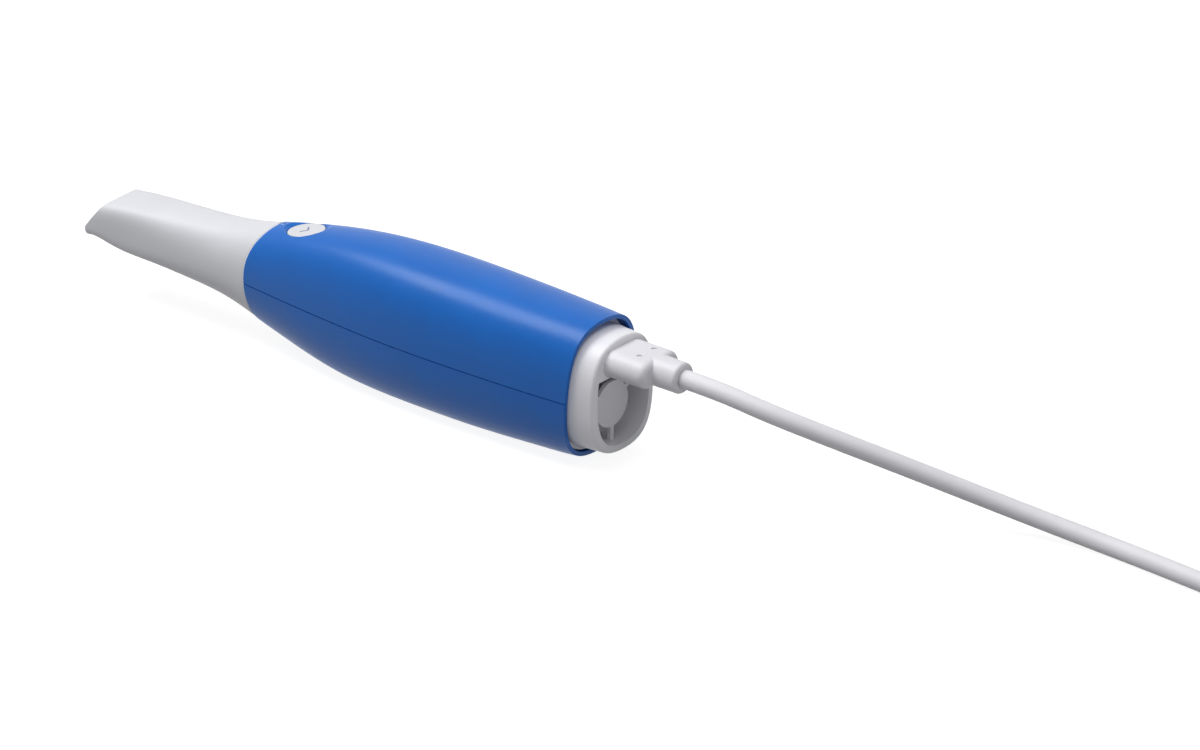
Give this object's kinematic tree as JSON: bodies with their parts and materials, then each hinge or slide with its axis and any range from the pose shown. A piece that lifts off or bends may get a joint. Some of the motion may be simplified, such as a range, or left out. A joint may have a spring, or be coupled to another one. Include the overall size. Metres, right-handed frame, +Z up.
{
  "type": "intraoral scanner",
  "caption": "Hand-held dental scanner: two-shell handle with scan button, pull-off tip with slanted mirror end, rear cap with air recess, plug and coiled cable.",
  "frame": {"origin": "on the resting surface, below the middle of the scanner's length from cap rim to tip end, on its middle plane", "axes": "+X towards the scanning tip, +Y to the scanner's left, +Z up through the scan button side"},
  "size_m": [0.638, 0.1026, 0.0579],
  "materials": {
    "blue_shell": "satin blue moulded shell",
    "pale_cap": "pale satin moulding",
    "pale_ring": "pale thin ring",
    "pale_tip": "pale matte tip",
    "pale_button": "pale satin button",
    "pale_plug": "pale moulded plug",
    "pale_cable": "pale matte cable jacket",
    "mirror": "front surface mirror",
    "clear_glass": "clear coated glass",
    "dark_barrel": "black anti-glare barrel",
    "soft_seal": "soft black seal",
    "black_plastic": "black moulded plastic",
    "grey_plastic": "pale grey moulded plastic",
    "green_board": "green circuit board",
    "steel": "plated steel",
    "sink_aluminium": "plain aluminium fins",
    "tray_aluminium": "satin aluminium tray"
  },
  "bodies": {
    "housing": {"upper_shell": "blue_shell", "lower_shell": "blue_shell", "rear_cap": "pale_cap", "front_ring": "pale_ring", "nose": "dark_barrel", "nose_seal": "soft_seal", "nose_window": "clear_glass", "light_pipe": "clear_glass", "button_board": "green_board", "tact_switch": "black_plastic", "cable_socket": "black_plastic", "fan_frame": "grey_plastic", "fan_screws": "steel", "main_board": "green_board", "board_screws": "steel", "processor": "black_plastic", "board_chips": "black_plastic", "heat_sink": "sink_aluminium", "optics_tray": "tray_aluminium", "projector": "dark_barrel", "projector_lens": "dark_barrel", "lamp_board": "green_board", "camera_left": "dark_barrel", "camera_right": "dark_barrel", "combiner": "clear_glass", "cable_plug": "pale_plug", "cable_contact": "steel", "cable_run": "pale_cable", "cable_coil": "pale_cable", "hub_plug": "pale_plug", "hub_plug_shell": "steel"},
    "scan_button": {"button": "pale_button", "switch_plunger": "black_plastic"},
    "scan_tip": {"tip": "pale_tip", "tip_mirror": "mirror"},
    "fan": {"fan_rotor": "grey_plastic"}
  },
  "joints": [
    {"name": "button_press", "type": "slide", "parent": "housing", "child": "scan_button", "axis": [-0.1478, 0, -0.989], "range_m": [0, 0.0004], "stiffness_N_per_m": 1500, "springref_m": -0.0002},
    {"name": "tip_pull", "type": "slide", "parent": "housing", "child": "scan_tip", "axis": [1, 0, 0], "range_m": [0, 0.045]},
    {"name": "fan_spin", "type": "hinge", "parent": "housing", "child": "fan", "pos_m": [-0.1, 0, 0.0229], "axis": [1, 0, 0], "continuous": true}
  ]
}
